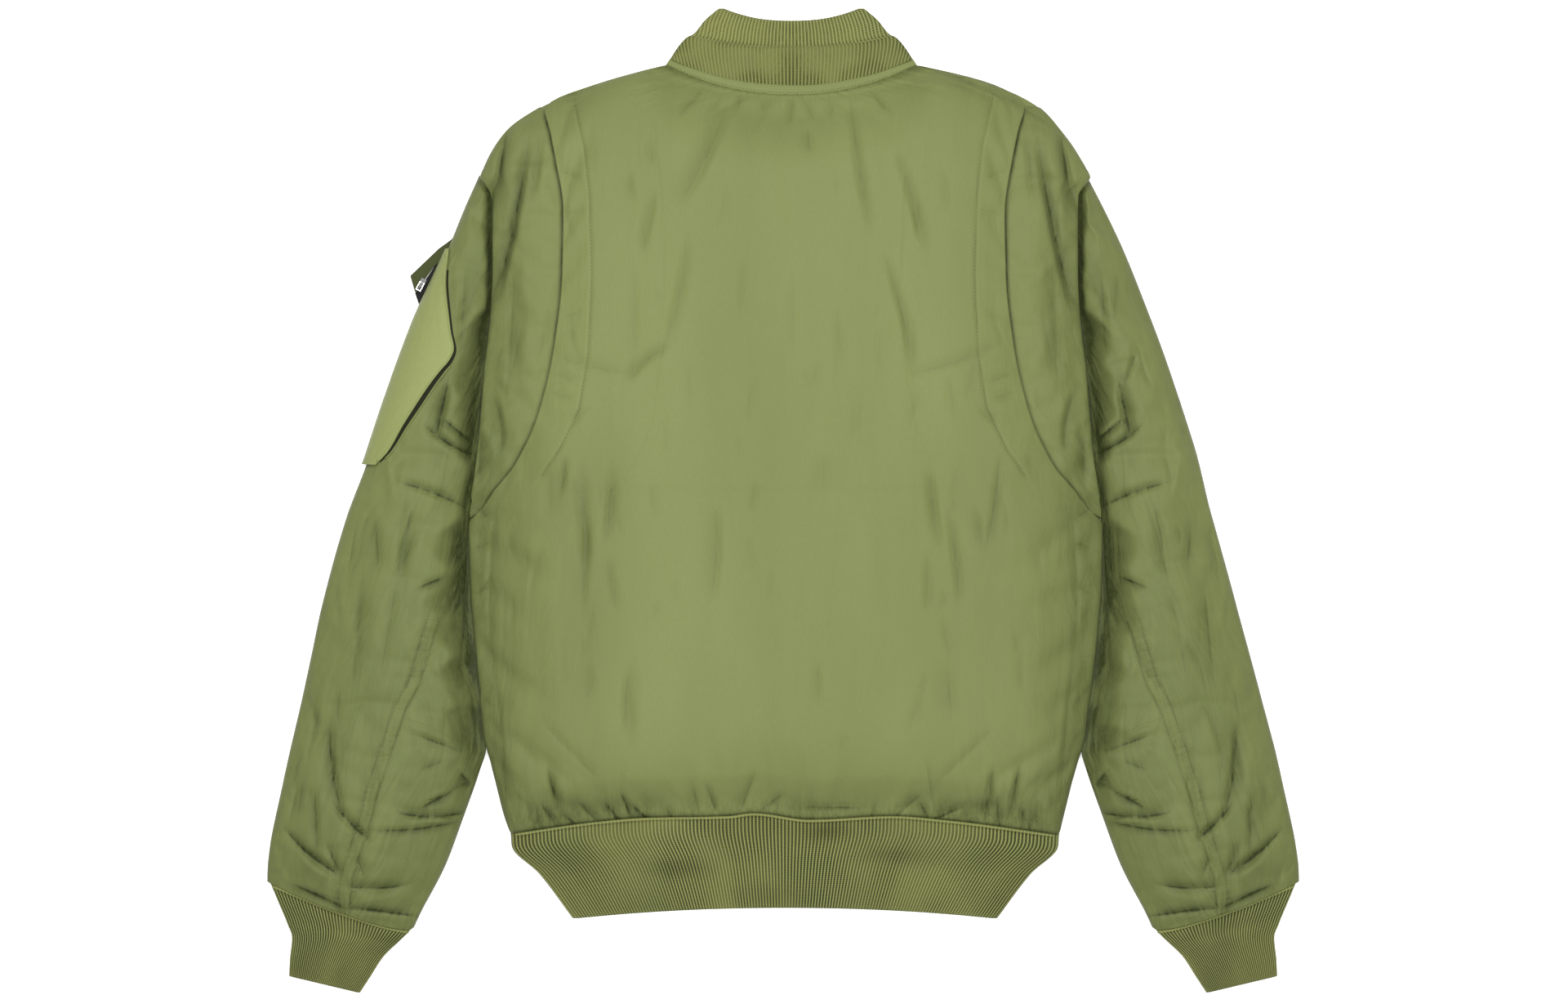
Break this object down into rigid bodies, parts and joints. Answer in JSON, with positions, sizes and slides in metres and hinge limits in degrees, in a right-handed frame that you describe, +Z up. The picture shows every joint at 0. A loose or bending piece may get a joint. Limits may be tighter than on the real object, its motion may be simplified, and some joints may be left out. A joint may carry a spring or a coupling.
{
  "type": "down bomber jacket laid flat with its back up",
  "caption": "Padded olive bomber jacket laid flat, back up, with rib-knit collar, cuffs and hem, back action pleats and a zipped sleeve pocket.",
  "frame": {"origin": "centre of the jacket's outline on the surface that it lies on", "axes": "+Z up from the surface through the back, +Y from the hem towards the collar, +X across the jacket towards the wearer's right sleeve"},
  "size_m": [0.858, 0.818, 0.0452],
  "materials": {
    "olive_nylon": "crinkled nylon with a soft sheen",
    "inner_nylon": "the same nylon in shadow, matt",
    "rib_knit": "rib knit of two tones, matt",
    "zip_tape": "woven tape, matt",
    "zip_metal": "polished nickel-plated metal"
  },
  "bodies": {
    "jacket": {"back_centre_panel": "olive_nylon", "back_side_panel_left": "olive_nylon", "back_side_panel_right": "olive_nylon", "front_panel_left": "olive_nylon", "front_panel_right": "olive_nylon", "neck_strip": "olive_nylon", "collar_rib": "rib_knit", "hem_rib": "rib_knit", "sleeve_outer_left": "olive_nylon", "sleeve_outer_right": "olive_nylon", "sleeve_under_left": "olive_nylon", "sleeve_under_right": "olive_nylon", "cuff_rib_left": "rib_knit", "cuff_rib_right": "rib_knit", "sleeve_pocket_panel": "olive_nylon", "sleeve_pocket_gusset": "inner_nylon", "sleeve_pocket_flap": "olive_nylon", "sleeve_pocket_zip_tape": "zip_tape", "sleeve_pocket_slider": "zip_metal", "front_zip_chain": "zip_tape", "front_zip_slider": "zip_metal"},
    "pocket_pull": {"sleeve_pocket_pull": "zip_metal"},
    "front_pull": {"front_zip_pull": "zip_metal"}
  },
  "joints": [
    {"name": "pocket_pull_swing", "type": "hinge", "parent": "jacket", "child": "pocket_pull", "pos_m": [-0.2995, 0.181, 0.01375], "axis": [-0.8829, 0.4695, 0], "range_deg": [0, 170]},
    {"name": "front_pull_swing", "type": "hinge", "parent": "jacket", "child": "front_pull", "pos_m": [0.0015, 0.318, 0.00285], "axis": [1, 0, 0], "range_deg": [0, 170]}
  ]
}
